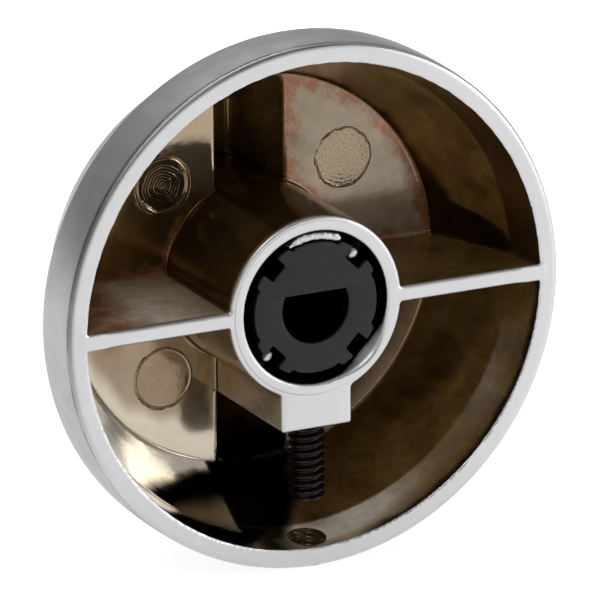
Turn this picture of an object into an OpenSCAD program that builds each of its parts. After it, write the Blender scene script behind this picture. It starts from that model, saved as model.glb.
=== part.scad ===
// Chrome-plated control knob of a water shutoff valve, seen from its open back.
// X runs along the two webs, Z up along the grip bar, and Y from the rim plane to the front.
// The origin is on the stem axis, in the plane of the back rim.

/* [Skirt] */
// Outer radius of the round side band
skirt_r = 35; // [32:0.5:38]
// Inner radius of the skirt at the rim plane
mouth_r = 32.4; // [31:0.1:33]
// Rounding of the rim's outer edge
rim_edge = 0.4; // [0.2:0.1:0.8]
// Depth of the straight side band, before its rounded shoulder
band_depth = 7.6; // [6:0.1:9]
// Radius of the shoulder between the side band and the cone
shoulder_r = 1.6; // [1:0.1:2]
// Inner radius at the crease of the skirt's inside wall
crease_r = 31.4; // [31:0.1:32]
// Depth of that crease
crease_depth = 6.7; // [5:0.1:9]

/* [Front] */
// Inner radius where the wall meets the floor
floor_r = 26.2; // [25:0.1:27]
// Depth of the floor plates, from the rim plane
floor_depth = 19; // [17:0.5:21]
// Wall thickness of the casting
wall = 2.4; // [2:0.1:3]

/* [Grip] */
// Half width of the hollow inside the grip, at the floor
trough_half = 5; // [4:0.1:6]
// Height of the grip above the front face
grip_height = 12.1; // [8:0.1:16]
// How much the grip's sides lean in, a side
grip_lean = 1.6; // [0.5:0.1:2.5]
// Width of the pointer groove on the grip
groove_w = 1.6; // [1:0.1:2.5]
// Depth of the pointer groove
groove_depth = 0.5; // [0.3:0.1:0.8]

/* [Hub] */
// Outer radius of the hub tube
hub_r = 12.2; // [11.5:0.1:13]
// Radius of the hub's bore
hub_bore_r = 10.2; // [10:0.1:10.4]
// Depth of the bore, down to the step that the insert rests on
hub_bore_depth = 17; // [15:0.5:17]
// Radius of the stem clearance below that step
stem_room_r = 6.5; // [6:0.1:7.5]
// Thickness of the two webs
web_t = 2.1; // [1.8:0.1:2.6]
// Inner radius of the pad opposite the set screw
pad_r = 8.85; // [8.8:0.01:8.95]
// Half angle of that pad
pad_half_angle = 20; // [10:1:21]
// Width of the two key ribs in the bore
key_w = 1.2; // [0.8:0.1:1.2]
// Inner reach of the key ribs, from the axis
key_r = 7.75; // [7.6:0.05:8]

/* [Set screw] */
// Half width of the boss
boss_half = 5; // [4.5:0.1:5.5]
// Reach of the boss below the axis
boss_reach = 16.2; // [15:0.1:18]
// Depth of the screw's axis, from the rim plane
screw_depth = 3.2; // [3:0.1:4]
// Major radius of the screw, a number 10
screw_r = 2.413; // [2.4:0.001:2.42]
// Length of the screw, five eighths of an inch
screw_l = 15.875; // [14:0.125:17]
// Distance of the screw's outer end from the axis
screw_end = 26.4; // [25:0.1:27]
// Hexagon socket, across flats
socket_af = 2.381; // [2:0.001:2.5]
// Radius of the hole in the boss
boss_hole_r = 2.45; // [2.43:0.01:2.5]
// Minor radius of the tapped hole in the skirt
skirt_hole_r = 1.95; // [1.9:0.01:2.1]

/* [Stem insert] */
// Radius of the insert's lobes
lobe_r = 8.7; // [8.5:0.05:8.7]
// Radius of the small ears at the lobe corners
ear_r = 9.15; // [9:0.05:9.3]
// Distance of the notch floors from the axis
notch_floor = 7.3; // [7:0.1:7.4]
// Width of the notches
notch_w = 2.7; // [2.6:0.1:3]
// Radius of the D-shaped bore, for a stem of three eighths of an inch
stem_r = 4.763; // [4.7:0.001:4.85]
// Distance of the D's flat from the axis
stem_flat = 2; // [1.5:0.1:3]
// Depth of the insert's face below the rim plane
insert_face = 0.1; // [0.05:0.05:1]

/* [Hidden] */
$fn = 96;
cut = 1;                                        // how far a cutter runs past a face
lean = (crease_r - floor_r) / (floor_depth - crease_depth);   // inward run of the cone per depth
wall_out = wall * sqrt(1 + lean * lean);        // the cone wall's thickness along a radius
front = floor_depth + wall;                     // depth of the front face
total_depth = front + grip_height;
grip_floor = total_depth - wall;                // depth of the hollow grip's end
grip_half = trough_half + wall;                 // half width of the grip at the front face
shoulder_steps = 6;
ear_out = 22;                                   // angle from a notch to its ear's outer end
key_shift = 0.55;                               // the two key ribs sit off the 45 degree line
key_face = 1.1;                                 // depth of the key ribs' ends
pad_face = 0.6;                                 // depth of the pad's end
cup_r = 1.2;                                    // cup point of the screw
cup_depth = 0.7;
end_chamfer = 0.5;
socket_depth = 4;

// inner radius of the lower cone at a depth
function cone_r(depth) = floor_r - (depth - floor_depth) * lean;
function turn(r, a) = [r * cos(a), r * sin(a)];
// the rounded shoulder, from the side band round to the cone
function shoulder() = [for (i = [0:shoulder_steps])
    [skirt_r - shoulder_r, band_depth] + turn(shoulder_r, 90 * i / shoulder_steps)];

// a profile of [radius, depth] turned about the stem axis
module turned() { rotate([-90, 0, 0]) rotate_extrude() children(); }
// an [x, z] outline from one depth to another
module deep(from, to) { translate([0, to, 0]) rotate([90, 0, 0]) linear_extrude(to - from) children(); }
module round_post(r, from, to) { deep(from, to) circle(r); }
// a sector of angle a0 to a1, for cutting rings apart
module sector(r, a0, a1) {
    steps = 4;
    polygon(concat([[0, 0]], [for (i = [0:steps]) turn(r, a0 + (a1 - a0) * i / steps)]));
}
// a slab along Z whose sides lean in towards the front
module leaning_slab(half0, half1, y0, y1) {
    linear_extrude(2 * skirt_r, center = true)
        polygon([[-half0, y0], [half0, y0], [half1, y1], [-half1, y1]]);
}
// the open space inside the skirt, down to the floor plates
module cavity() {
    turned() polygon([[0, 0], [mouth_r, 0], [crease_r, crease_depth], [floor_r, floor_depth], [0, floor_depth]]);
}
// the hollow of the grip below the floor plates
module trough(y0) {
    intersection() {
        turned() polygon([[0, y0], [cone_r(y0), y0], [cone_r(grip_floor), grip_floor], [0, grip_floor]]);
        leaning_slab(trough_half, trough_half - grip_lean, floor_depth, grip_floor);
    }
}
// the screw's axis, along Z at its depth, from one height to another
module on_screw_axis(r, z0, z1) { translate([0, screw_depth, z0]) cylinder(r = r, h = z1 - z0); }

module skirt() {
    color("silver") difference() {
        turned() polygon(concat(
            [[mouth_r, 0], [skirt_r - rim_edge, 0], [skirt_r, rim_edge]],
            shoulder(),
            [[cone_r(band_depth + shoulder_r) + wall_out, band_depth + shoulder_r],
             [cone_r(front) + wall_out, front], [cone_r(front), front],
             [floor_r, floor_depth], [crease_r, crease_depth]]));
        on_screw_axis(skirt_hole_r, -skirt_r - cut, -crease_r + 3 * cut);
    }
}

module face_plate() {
    color("tan") difference() {
        turned() polygon([[0, floor_depth], [floor_r, floor_depth], [cone_r(front), front], [0, front]]);
        leaning_slab(trough_half, trough_half - grip_lean, floor_depth, grip_floor);
        translate([0, floor_depth - cut, 0]) leaning_slab(trough_half, trough_half, 0, 2 * cut);
        round_post(hub_r, floor_depth - cut, front + cut);
    }
}

module grip_bar() {
    color("silver") difference() {
        intersection() {
            turned() polygon([[0, front], [cone_r(front) + wall_out, front],
                [cone_r(total_depth) + wall_out, total_depth], [0, total_depth]]);
            leaning_slab(grip_half, grip_half - grip_lean, front, total_depth);
        }
        trough(front - cut);
        translate([-groove_w / 2, total_depth - groove_depth, wall])
            cube([groove_w, 2 * groove_depth, skirt_r]);
    }
}

module hub() {
    color("tan") difference() {
        union() {
            round_post(hub_r, 0, front);
            intersection() {
                round_post(hub_r, front, grip_floor);
                trough(front);
            }
        }
        difference() {
            round_post(hub_bore_r, -cut, hub_bore_depth);
            pad();
            keys();
        }
        round_post(stem_room_r, hub_bore_depth - cut, floor_depth + 1.5 * cut);
        on_screw_axis(boss_hole_r, -hub_r - cut, -hub_bore_r + 3 * cut);
    }
}

// the pad in the bore, opposite the set screw
module pad() {
    deep(pad_face, hub_bore_depth + cut) difference() {
        intersection() {
            circle(hub_bore_r + cut);
            sector(2 * hub_bore_r, 90 - pad_half_angle, 90 + pad_half_angle);
        }
        circle(pad_r);
    }
}

// two ribs in the bore that key the insert's notches
module keys() {
    for (side = [1, -1])
        deep(key_face, hub_bore_depth + cut) rotate(45)
            translate([side > 0 ? key_r : -key_r - 4 * cut, key_shift - key_w / 2])
                square([4 * cut, key_w]);
}

module web(side) {
    color("silver") difference() {
        intersection() {
            cavity();
            translate([side > 0 ? 0 : -skirt_r, 0, -web_t / 2]) cube([skirt_r, floor_depth, web_t]);
        }
        round_post(hub_r, -cut, floor_depth + cut);
    }
}
module web_left() { web(-1); }
module web_right() { web(1); }

module screw_boss() {
    color("silver") difference() {
        translate([-boss_half, 0, -boss_reach]) cube([2 * boss_half, floor_depth, boss_reach]);
        round_post(hub_r, -cut, floor_depth + cut);
        on_screw_axis(boss_hole_r, -boss_reach - cut, -boss_half);
    }
}

// the insert's outline: lobes with ears beside four notches, round a D
module insert_outline() {
    difference() {
        union() {
            circle(lobe_r);
            for (a = [45:90:315]) rotate(a) intersection() {
                circle(ear_r);
                sector(2 * ear_r, -ear_out, ear_out);
            }
        }
        for (a = [45:90:315]) rotate(a)
            translate([notch_floor, -notch_w / 2]) square([lobe_r, notch_w]);
        intersection() {
            circle(stem_r);
            translate([-lobe_r, stem_flat - 2 * lobe_r]) square(2 * lobe_r);
        }
    }
}
module stem_insert() { color([0.15, 0.15, 0.16]) deep(insert_face, hub_bore_depth) insert_outline(); }

module set_screw() {
    tip = -screw_end + screw_l;
    color([0.1, 0.1, 0.1]) difference() {
        translate([0, screw_depth, 0]) rotate_extrude() polygon([
            [0, -screw_end], [screw_r - end_chamfer, -screw_end], [screw_r, -screw_end + end_chamfer],
            [screw_r, tip - 2 * end_chamfer], [screw_r - 2 * end_chamfer, tip], [cup_r, tip], [0, tip - cup_depth]]);
        translate([0, screw_depth, -screw_end - cut])
            cylinder(d = socket_af / cos(30), h = socket_depth + cut, $fn = 6);
    }
}

skirt();
face_plate();
grip_bar();
hub();
web_left();
web_right();
screw_boss();
stem_insert();
set_screw();
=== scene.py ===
"""Plated control knob of a water shutoff valve, seen from its open back.

The casting is one solid worked out from a distance function in millimetres, so that every inside
corner has a cast fillet. The insert, the screw and small details are meshes of their own. X runs
along the webs, Z up along the grip bar and Y from the rim plane to the front.
"""
import math
from types import SimpleNamespace

import bmesh
import bpy
import numpy as np
from mathutils import Matrix, Vector, noise


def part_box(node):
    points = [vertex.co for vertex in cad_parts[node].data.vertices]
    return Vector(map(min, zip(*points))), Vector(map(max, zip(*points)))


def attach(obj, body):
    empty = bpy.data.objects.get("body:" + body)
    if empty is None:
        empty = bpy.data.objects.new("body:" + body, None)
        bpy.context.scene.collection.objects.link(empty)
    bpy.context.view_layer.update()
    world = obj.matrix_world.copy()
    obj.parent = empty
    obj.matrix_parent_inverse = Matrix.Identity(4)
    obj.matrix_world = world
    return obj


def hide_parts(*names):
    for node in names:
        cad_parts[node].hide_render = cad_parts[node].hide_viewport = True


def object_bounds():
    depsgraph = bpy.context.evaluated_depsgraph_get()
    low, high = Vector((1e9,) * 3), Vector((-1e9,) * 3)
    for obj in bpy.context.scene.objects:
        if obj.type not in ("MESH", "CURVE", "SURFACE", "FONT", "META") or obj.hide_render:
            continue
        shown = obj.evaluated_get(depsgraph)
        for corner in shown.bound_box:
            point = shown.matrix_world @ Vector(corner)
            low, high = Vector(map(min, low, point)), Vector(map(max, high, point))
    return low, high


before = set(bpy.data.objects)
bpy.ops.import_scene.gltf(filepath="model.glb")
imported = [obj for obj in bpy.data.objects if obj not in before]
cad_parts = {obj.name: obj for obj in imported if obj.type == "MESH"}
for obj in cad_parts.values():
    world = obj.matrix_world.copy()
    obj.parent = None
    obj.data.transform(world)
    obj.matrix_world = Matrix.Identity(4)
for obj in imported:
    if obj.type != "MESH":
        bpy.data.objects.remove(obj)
cad_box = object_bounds()
MM = 0.001


def box_mm(node):
    """Lowest and highest corner of a CAD node, in millimetres."""
    low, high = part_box(node)
    return low / MM, high / MM


# ---------------- sizes, in millimetres, and directions in degrees
skirt_high = box_mm("skirt")[1]
plate_low, plate_high = box_mm("face_plate")
boss_low, boss_high = box_mm("screw_boss")
insert_low, insert_high = box_mm("stem_insert")
screw_low, screw_high = box_mm("set_screw")

# from the frame
SKIRT_R, FRONT_Y = skirt_high.x, skirt_high.y
FLOOR_R, FLOOR_Y = plate_high.x, plate_low.y
TOP_Y = box_mm("grip_bar")[1].y
HUB_R = box_mm("hub")[1].x
WEB_HALF = box_mm("web_left")[1].z
BOSS_HALF, BOSS_REACH = boss_high.x, -boss_low.z
SCREW_Y = (screw_low.y + screw_high.y) / 2
SCREW_R = screw_high.x
INSERT_FACE, INSERT_END = insert_low.y, insert_high.y
LOBE_R = insert_high.x

# the skirt and the front
WALL = FRONT_Y - FLOOR_Y
MOUTH_R = 32.4  # inner radius at the rim plane
CREASE_R = 31.4  # inner radius at the crease of the inside wall
CREASE_Y = 6.7
UPPER_COS = 0.989  # cosine of the wall's lean between the rim and the crease
LEAN = (CREASE_R - FLOOR_R) / (FLOOR_Y - CREASE_Y)
CONE_COS = 1 / math.sqrt(1 + LEAN * LEAN)
WALL_OUT = WALL / CONE_COS
BAND_Y = 9.2  # depth of the side band, shoulder included
SHOULDER = 1.6
CROWN, CROWN_Y = 0.010, 4.4  # how much the side band bulges, and its widest ring's depth
RIM_EDGE, RIM_SQUEEZE = 0.8, 1.8  # round of the rim's outer edge, flatter in Y
RIM_INNER_EDGE, WEB_EDGE = 0.14, 0.42  # rounds at the rim plane: on the rim; on webs, hub and boss
WEB_EDGE_TO, RIM_EDGE_FROM = 28, 31  # radii where the one round turns into the other
CONE_START = BAND_Y - 1.2
CONE_EDGE, BAND_FILLET = 1.2, 0.7
CHIP_DEPTH, CHIP_REACH = 0.035, 0.35  # dents along the rim's inner edge

# the grip bar and its hollow
TROUGH_HALF = BOSS_HALF
TROUGH_END = TOP_Y - WALL
TROUGH_EDGE = 1.2
GRIP_HALF = TROUGH_HALF + WALL
GRIP_LEAN = 1.6 / (TOP_Y - FRONT_Y)
GRIP_COS = 1 / math.sqrt(1 + GRIP_LEAN * GRIP_LEAN)
BAR_START = FLOOR_Y + 1
BAR_INSET = 0.7  # how far the bar's ends stay inside the cone
BAR_CORNER, BAR_EDGE, BAR_FILLET = 2.0, 1.5, 1.1
GROOVE_HALF, GROOVE_DEPTH = 0.8, 0.5

# the hub, webs, boss and holes
ROOT, SHALLOW_ROOT = 1.0, 0.6  # how far the inner walls run into the shell
WEB_DRAFT = 0.006
WEB_FILLET, BOSS_FILLET, BOSS_CORNER = 0.35, 0.3, 0.45
BORE_R, BORE_END_EDGE = 10.2, 0.4
WORN_TURN, WORN_SPAN = -44, 34  # where the bore's mouth is worn wider
WORN_CUT, WORN_Y = 0.75, 1.3
STEM_ROOM_R, STEM_ROOM_Y = 6.5, 20.5
PAD_R, PAD_ANGLE, PAD_FACE = 8.85, 20.0, 1.0
PAD_MM_PER_DEGREE = 0.16
KEY_R, KEY_HALF, KEY_SHIFT, KEY_FACE, KEY_EDGE = 7.9, 0.55, 0.55, 1.0, 0.35
BOSS_HOLE_R, SKIRT_HOLE_R = 2.5, 2.45
WALL_AT_HOLE = SKIRT_R - MOUTH_R + 0.5  # about the skirt's thickness there
STEM_R, STEM_FLAT = 4.763, 2.0  # the insert's D-shaped hole
PITCH = 25.4 / 24  # a number 10 screw with 24 threads to the inch
THREAD_DEPTH = 0.6
THREAD_SIDES = 72
SMALL_EDGE = 0.15

CELL = 0.3


# ---------------- distance functions
def fuse(a, b, r):
    """Union of two solids with a fillet of radius r between them."""
    u = np.maximum(r - a, 0)
    v = np.maximum(r - b, 0)
    return np.maximum(r, np.minimum(a, b)) - np.sqrt(u * u + v * v)


def common(a, b, r):
    """What two solids share, with its edge rounded to radius r."""
    u = np.maximum(r + a, 0)
    v = np.maximum(r + b, 0)
    return np.minimum(-r, np.maximum(a, b)) + np.sqrt(u * u + v * v)


def soft_step(value, low, high):
    """Nothing at the low value, rising softly to one at the high value."""
    t = np.clip((value - low) / (high - low), 0, 1)
    return t * t * (3 - 2 * t)


def near(value, middle, reach):
    """One at the middle, falling softly to nothing at the reach."""
    return soft_step(-np.abs(value - middle), -reach, 0)


def window(value, start, full, fade, end):
    """One from full to fade, falling softly to nothing at the start and at the end."""
    return soft_step(value, start, full) * soft_step(-value, -end, -fade)


def outer_form(x, y, z, r):
    """The outside of the knob: side band, cone, front face and grip bar."""
    cone_r = FLOOR_R - (y - FLOOR_Y) * LEAN + WALL_OUT
    crowned = r - SKIRT_R + CROWN * (y - CROWN_Y) ** 2
    band = common(common(crowned, y - BAND_Y, SHOULDER), -RIM_SQUEEZE * y, RIM_EDGE)
    cone = common((r - cone_r) * CONE_COS, y - FRONT_Y, CONE_EDGE)
    body = fuse(band, np.maximum(cone, CONE_START - y), BAND_FILLET)
    side = (np.abs(x) - GRIP_HALF + (y - FRONT_Y) * GRIP_LEAN) * GRIP_COS
    ends = (r - cone_r + BAR_INSET) * CONE_COS
    bar = common(common(side, ends, BAR_CORNER), y - TOP_Y, BAR_EDGE)
    body = fuse(body, np.maximum(bar, BAR_START - y), BAR_FILLET)
    groove = np.maximum(np.maximum(np.abs(x) - GROOVE_HALF, WALL - z), TOP_Y - GROOVE_DEPTH - y)
    return common(body, -groove, SMALL_EDGE)


def rim_chips(x, y, z):
    """Small dents along the rim's inner edge, deepest at the top and gone a little way in."""
    turn = np.arctan2(z, x)
    chips = np.sin(37 * turn + 1) * np.sin(9 * turn) + 0.8 * np.sin(83 * turn + 2) * np.sin(7 * turn + 1)
    chips *= CHIP_DEPTH * (0.15 + 0.85 * soft_step(np.sin(turn), -0.2, 0.5))
    return chips * np.exp(-np.maximum(y, 0) / CHIP_REACH)


def hollow_form(x, y, z, r):
    """The open space inside: the skirt's hollow and the cored grip below the plates."""
    upper = (r - MOUTH_R + rim_chips(x, y, z) + y * (MOUTH_R - CREASE_R) / CREASE_Y) * UPPER_COS
    cone_r = FLOOR_R - (y - FLOOR_Y) * LEAN
    lower = (r - cone_r) * CONE_COS
    bowl = common(common(upper, lower, 0.12), y - FLOOR_Y, 0.3)
    side = (np.abs(x) - TROUGH_HALF + (y - FLOOR_Y) * GRIP_LEAN) * GRIP_COS
    cored = common(common(side, lower + 0.35, TROUGH_EDGE), y - TROUGH_END, TROUGH_EDGE)
    cored = np.maximum(cored, FLOOR_Y - 2 - y)
    return fuse(bowl, cored, 0.25)


def inner_form(x, y, z, r):
    """The hub tube, the two webs and the screw boss."""
    hub = np.maximum(r - HUB_R, y - FLOOR_Y - ROOT)
    core = np.maximum(r - HUB_R, np.abs(x) - TROUGH_HALF - SHALLOW_ROOT)
    hub = np.minimum(hub, np.maximum(core, y - TROUGH_END - SHALLOW_ROOT))
    cone_r = FLOOR_R - (y - FLOOR_Y) * LEAN
    within = np.maximum((r - cone_r) * CONE_COS - ROOT, r - MOUTH_R - SHALLOW_ROOT)
    web = np.maximum(np.maximum(np.abs(z) - WEB_HALF - WEB_DRAFT * y, y - FLOOR_Y - ROOT), within)
    boss = common(np.abs(x) - BOSS_HALF, -BOSS_REACH - z, BOSS_CORNER)
    boss = np.maximum(np.maximum(boss, z), y - FLOOR_Y)
    return fuse(fuse(hub, web, WEB_FILLET), boss, BOSS_FILLET)


def bore_form(x, y, z, r):
    """The hub's bore, less the pad opposite the screw and the two key ribs."""
    angle = np.degrees(np.arctan2(z, x))
    worn = WORN_CUT * near(angle, WORN_TURN, WORN_SPAN) * np.maximum(1 - y / WORN_Y, 0)
    bore = common(r - BORE_R - worn, y - INSERT_END, BORE_END_EDGE)
    pad = np.maximum(PAD_R - r, (np.abs(angle - 90) - PAD_ANGLE) * PAD_MM_PER_DEGREE)
    pad = np.maximum(pad, PAD_FACE - y)
    u = (x + z) * math.sqrt(0.5)
    v = (z - x) * math.sqrt(0.5)
    key = common(np.abs(v - KEY_SHIFT) - KEY_HALF, KEY_R - np.abs(u), KEY_EDGE)
    key = common(key, KEY_FACE - y, KEY_EDGE)
    bore = common(bore, -np.minimum(pad, key), SMALL_EDGE)
    return np.minimum(bore, np.maximum(r - STEM_ROOM_R, y - STEM_ROOM_Y))


def casting_form(x, y, z):
    """The whole casting: below zero inside the metal."""
    r = np.sqrt(x * x + z * z)
    shell = np.maximum(outer_form(x, y, z, r), -hollow_form(x, y, z, r))
    solid = fuse(shell, inner_form(x, y, z, r), 0.3)
    solid = common(solid, -bore_form(x, y, z, r), SMALL_EDGE)
    across = np.sqrt(x * x + (y - SCREW_Y) ** 2)
    # both holes start and end in the open, past the walls that they go through
    boss_hole = np.maximum(across - BOSS_HOLE_R, np.maximum(z + BORE_R - 2, -BOSS_REACH - 3 - z))
    skirt_hole = np.maximum(across - SKIRT_HOLE_R, z + MOUTH_R - 4)
    solid = common(solid, -np.minimum(boss_hole, skirt_hole), 0.1)
    at_rim = soft_step(r, WEB_EDGE_TO, RIM_EDGE_FROM)
    return common(solid, -y, WEB_EDGE + (RIM_INNER_EDGE - WEB_EDGE) * at_rim)


def gradient(form, p, step=0.02):
    """The form's value and its slope at each point."""
    x, y, z = p.T
    slope = np.stack([
        form(x + step, y, z) - form(x - step, y, z),
        form(x, y + step, z) - form(x, y - step, z),
        form(x, y, z + step) - form(x, y, z - step)], axis=1) / (2 * step)
    return form(x, y, z), slope


def surface_net(form, low, high, cell):
    """Points and quads of the form's surface, by dual contouring on a regular grid.

    Each cell's point is where the planes through its edge crossings meet, so edges stay crisp."""
    low = np.array(low, float)
    axes = [np.arange(a, b + cell, cell) for a, b in zip(low, high)]
    shape = tuple(len(a) for a in axes)
    field = np.empty(shape, np.float32)      # the form's value at each grid point
    xs, zs = np.meshgrid(axes[0], axes[2], indexing="ij")
    for j, depth in enumerate(axes[1]):
        field[:, j, :] = form(xs, np.full_like(xs, depth), zs)
    inside = field < 0
    count = np.zeros(tuple(n - 1 for n in shape), np.int8)
    for i, j, k in np.ndindex(2, 2, 2):
        count += inside[i:shape[0] - 1 + i, j:shape[1] - 1 + j, k:shape[2] - 1 + k]
    cells = np.argwhere((count > 0) & (count < 8))
    number = np.full(count.shape, -1, np.int32)
    number[tuple(cells.T)] = np.arange(len(cells))
    quads, crossings = [], []
    # each grid edge that the surface crosses gives a quad between the four cells round it
    for axis in range(3):
        change = inside != np.roll(inside, -1, axis=axis)
        p, q = [m for m in range(3) if m != axis]
        keep = [slice(1, -1)] * 3
        keep[axis] = slice(0, -1)
        where = np.argwhere(change[tuple(keep)])
        where[:, [p, q]] += 1
        there = where.copy()
        there[:, axis] += 1
        fa, fb = field[tuple(where.T)], field[tuple(there.T)]
        point = low + cell * where
        point[:, axis] += cell * fa / (fa - fb)
        ring = []
        for dp, dq in ((1, 1), (0, 1), (0, 0), (1, 0)):
            at = where.copy()
            at[:, p] -= dp
            at[:, q] -= dq
            ring.append(number[tuple(at.T)])
        ring = np.stack(ring, axis=1)
        crossings.append((point, ring))
        outward = inside[tuple(where.T)]
        if axis == 1:
            outward = ~outward
        quads.append(np.where(outward[:, None], ring, ring[:, ::-1]))
    return meeting_points(form, crossings, low + cell * (cells + 0.5), cell), np.concatenate(quads)


LEAST_SLOPE = 0.2  # keeps a step along a flat slope short
MEAN_PULL = 0.06  # pulls a cell's point towards the mean of its crossings
CELL_ROAM = 0.6  # how far from its cell's middle a point may lie, in cells


def meeting_points(form, crossings, middles, cell):
    """Where the planes through each cell's edge crossings meet, kept near the cell."""
    point = np.concatenate([c[0] for c in crossings])
    ring = np.concatenate([c[1] for c in crossings])
    value, slope = gradient(form, point)
    point = point - slope * (value / np.maximum((slope * slope).sum(1), LEAST_SLOPE))[:, None]
    slope = gradient(form, point)[1]
    slope /= np.maximum(np.linalg.norm(slope, axis=1), 1e-6)[:, None]
    owner = ring.ravel()
    point = np.repeat(point, 4, axis=0)
    slope = np.repeat(slope, 4, axis=0)
    total = len(middles)

    def gather(values):
        return np.bincount(owner, weights=values, minlength=total)

    hits = np.maximum(gather(np.ones(len(owner))), 1)
    mean = np.stack([gather(point[:, m]) / hits for m in range(3)], axis=1)
    reach = ((point - mean[owner]) * slope).sum(1)
    left = np.empty((total, 3, 3))
    for m in range(3):
        for n in range(3):
            left[:, m, n] = gather(slope[:, m] * slope[:, n]) + (MEAN_PULL if m == n else 0)
    right = np.stack([gather(slope[:, m] * reach) for m in range(3)], axis=1)
    found = mean + np.linalg.solve(left, right[:, :, None])[:, :, 0]
    return middles + np.clip(found - middles, -CELL_ROAM * cell, CELL_ROAM * cell)


# ---------------- mesh helpers
def placed(name, data):
    """A new object for a mesh, curve, light or camera, linked to the scene."""
    obj = bpy.data.objects.new(name, data)
    bpy.context.scene.collection.objects.link(obj)
    return obj


def smooth_object(name, mesh):
    """A new object for a mesh, shaded smooth."""
    mesh.polygons.foreach_set("use_smooth", [True] * len(mesh.polygons))
    return placed(name, mesh)


def face_outward(mesh):
    """Welds doubled points and turns every face outwards."""
    work = bmesh.new()
    work.from_mesh(mesh)
    bmesh.ops.remove_doubles(work, verts=work.verts, dist=1e-6)
    bmesh.ops.recalc_face_normals(work, faces=work.faces)
    work.to_mesh(mesh)
    work.free()


def mesh_object(name, points, faces):
    """A mesh object from points in millimetres."""
    mesh = bpy.data.meshes.new(name)
    points = np.asarray(points, float) * MM
    if isinstance(faces, np.ndarray):
        mesh.vertices.add(len(points))
        mesh.vertices.foreach_set("co", points.astype(np.float32).ravel())
        mesh.loops.add(faces.size)
        mesh.loops.foreach_set("vertex_index", faces.astype(np.int32).ravel())
        mesh.polygons.add(len(faces))
        mesh.polygons.foreach_set("loop_start", np.arange(len(faces), dtype=np.int32) * faces.shape[1])
        mesh.update(calc_edges=True)
    else:
        mesh.from_pydata([tuple(p) for p in points], [], [tuple(f) for f in faces])
    mesh.validate()
    return smooth_object(name, mesh)


def loft(rings, loop=False):
    """Points and faces of a closed skin over rings that all have the same number of points.

    The ends are capped, or the last ring joins the first in a loop."""
    n = len(rings[0])
    points = [p for ring in rings for p in ring]
    faces = []
    for i in range(len(rings) if loop else len(rings) - 1):
        m = (i + 1) % len(rings)
        for j in range(n):
            k = (j + 1) % n
            faces.append((i * n + j, i * n + k, m * n + k, m * n + j))
    if not loop:
        faces.append(tuple(range(n))[::-1])
        faces.append(tuple((len(rings) - 1) * n + j for j in range(n)))
    return points, faces


def put_attribute(obj, name, values):
    """Gives the points of a mesh a number each, or all one number, for its material to read."""
    layer = obj.data.attributes.new(name, "FLOAT", "POINT")
    layer.data.foreach_set("value", np.full(len(obj.data.vertices), values, np.float32))


# ---------------- camera, floor and light
CAM_AZIMUTH, CAM_ELEVATION, CAM_ROLL = -26.5, 17.8, -0.35
CAM_DISTANCE = 1.266
CAM_SEES = 0.0766  # width of the view at the object
CAM_AIM = (-0.0021, 0.0010)  # right and up from the stem axis at the rim plane


def make_camera():
    """A long lens that looks at the open back, a little from the left and from above."""
    a, e = math.radians(CAM_AZIMUTH), math.radians(CAM_ELEVATION)
    back = Vector((math.sin(a) * math.cos(e), -math.cos(a) * math.cos(e), math.sin(e)))
    right = Vector((math.cos(a), math.sin(a), 0))
    up = back.cross(right)
    turn = Matrix((right, up, back)).transposed()
    turn = turn @ Matrix.Rotation(math.radians(CAM_ROLL), 3, "Z")
    data = bpy.data.cameras.new("camera")
    data.sensor_width = 36
    data.lens = data.sensor_width * CAM_DISTANCE / CAM_SEES
    data.clip_start, data.clip_end = 0.05, 20
    place = turn.to_4x4()
    place.translation = turn @ Vector((*CAM_AIM, 0)) + back * CAM_DISTANCE
    cam = placed("camera", data)
    cam.matrix_world = place
    bpy.context.scene.camera = cam


LIGHT_AIM = Vector((0, 0.01, 0))


def area_light(name, place, size, power):
    """A soft white light that faces the knob."""
    data = bpy.data.lights.new(name, "AREA")
    data.shape = "RECTANGLE"
    data.size, data.size_y = size
    data.energy = power
    obj = placed(name, data)
    obj.location = place
    obj.rotation_mode = "QUATERNION"
    obj.rotation_quaternion = (LIGHT_AIM - Vector(place)).to_track_quat("-Z", "Y")


WORLD_LOW, WORLD_HIGH = 0.45, 0.75  # the studio's brightness below and above
WORLD_BACK, WORLD_LEFT = 0.25, 0.75  # what is left of it behind the camera and on its left


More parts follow.
